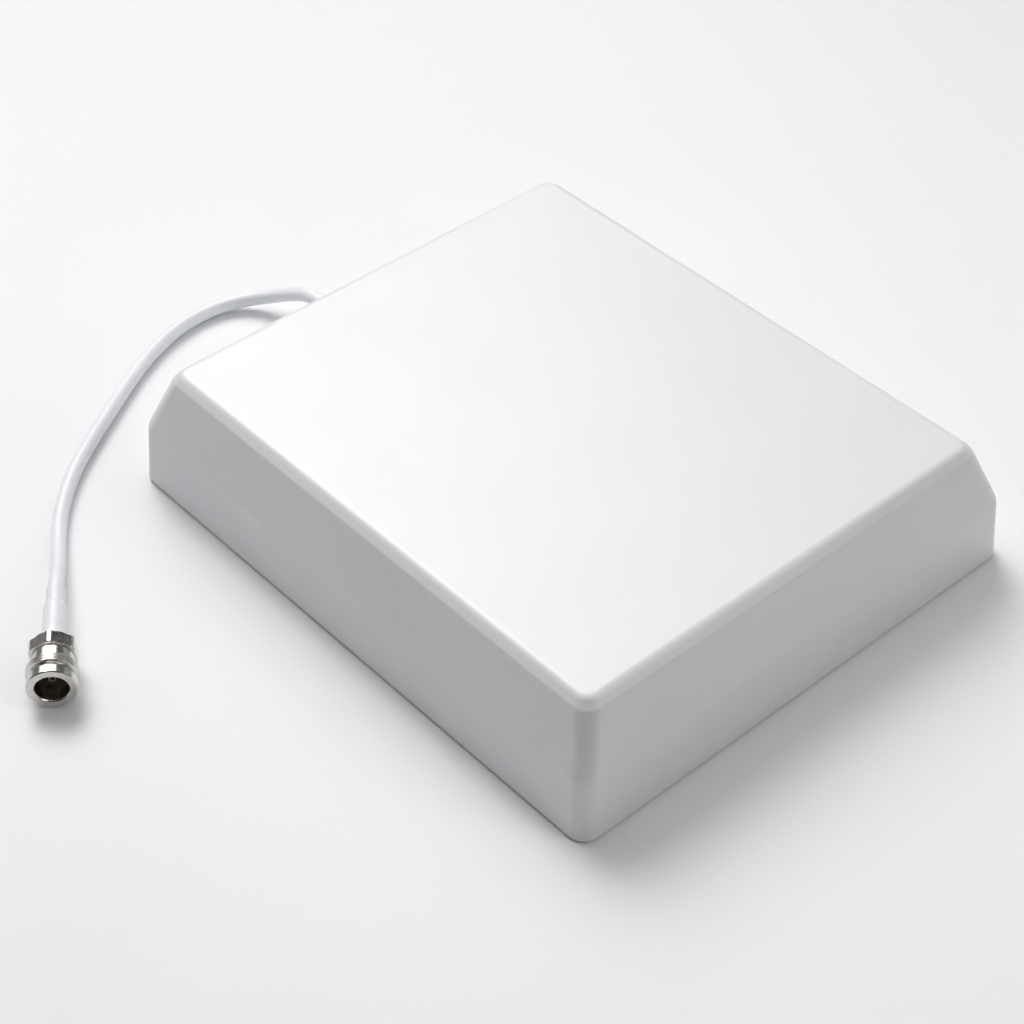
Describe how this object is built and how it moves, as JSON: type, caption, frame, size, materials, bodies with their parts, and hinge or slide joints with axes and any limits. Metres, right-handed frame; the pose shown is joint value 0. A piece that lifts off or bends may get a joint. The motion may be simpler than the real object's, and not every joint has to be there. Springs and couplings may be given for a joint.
{
  "type": "cellular signal booster panel antenna",
  "caption": "Flat rectangular indoor panel antenna of a cellular signal booster: a moulded white radome on a flat back plate, with a short coax pigtail ending in a threaded jack.",
  "frame": {"origin": "centre of the housing's footprint on the surface it lies or hangs on, at the back plate's outer face", "axes": "+X along the housing's long side, away from the short side that the pigtail leaves; +Y along its short side; +Z out of the radome's face"},
  "size_m": [0.2658, 0.2649, 0.044],
  "materials": {
    "cover_white": "fine satin moulded ABS",
    "base_white": "satin moulded ABS",
    "foam_grey": "closed-cell foam rubber",
    "screw_steel": "zinc-plated steel",
    "aluminium": "mill-finish sheet",
    "brass": "stamped sheet",
    "copper": null,
    "nylon": "natural nylon",
    "ptfe": "white PTFE",
    "pei": "dark amber polyetherimide",
    "cable_white": "smooth white PVC",
    "sleeve_white": "shrunk white polyolefin",
    "nickel": "bright nickel plating, turned",
    "contact_metal": "thinly plated brass"
  },
  "bodies": {
    "root": {"radome": "cover_white", "back_plate": "base_white", "perimeter_gasket": "foam_grey", "reflector_tray": "aluminium", "driven_plate": "brass", "director_plate": "aluminium", "feed_strip": "brass", "ground_clamp": "brass", "cable_saddle": "nylon", "inner_coax_jacket": "cable_white", "inner_coax_braid": "copper", "inner_coax_dielectric": "ptfe", "inner_coax_core": "copper", "strain_relief": "cable_white", "coax_cable": "cable_white", "heat_shrink_sleeve": "sleeve_white", "crimp_ferrule": "nickel", "connector_coax_end": "cable_white", "connector_body": "nickel", "connector_insulator": "pei", "connector_contact": "contact_metal", "case_screw_1": "screw_steel", "case_screw_2": "screw_steel", "case_screw_3": "screw_steel", "case_screw_4": "screw_steel", "case_screw_5": "screw_steel", "case_screw_6": "screw_steel", "tray_screw_1": "screw_steel", "lower_spacer_1": "nylon", "upper_spacer_1": "nylon", "stack_screw_1": "nylon", "stack_nut_1": "nylon", "tray_screw_2": "screw_steel", "lower_spacer_2": "nylon", "upper_spacer_2": "nylon", "stack_screw_2": "nylon", "stack_nut_2": "nylon", "tray_screw_3": "screw_steel", "lower_spacer_3": "nylon", "upper_spacer_3": "nylon", "stack_screw_3": "nylon", "stack_nut_3": "nylon", "tray_screw_4": "screw_steel", "lower_spacer_4": "nylon", "upper_spacer_4": "nylon", "stack_screw_4": "nylon", "stack_nut_4": "nylon", "saddle_screw_1": "screw_steel", "saddle_screw_2": "screw_steel"}
  },
  "joints": []
}
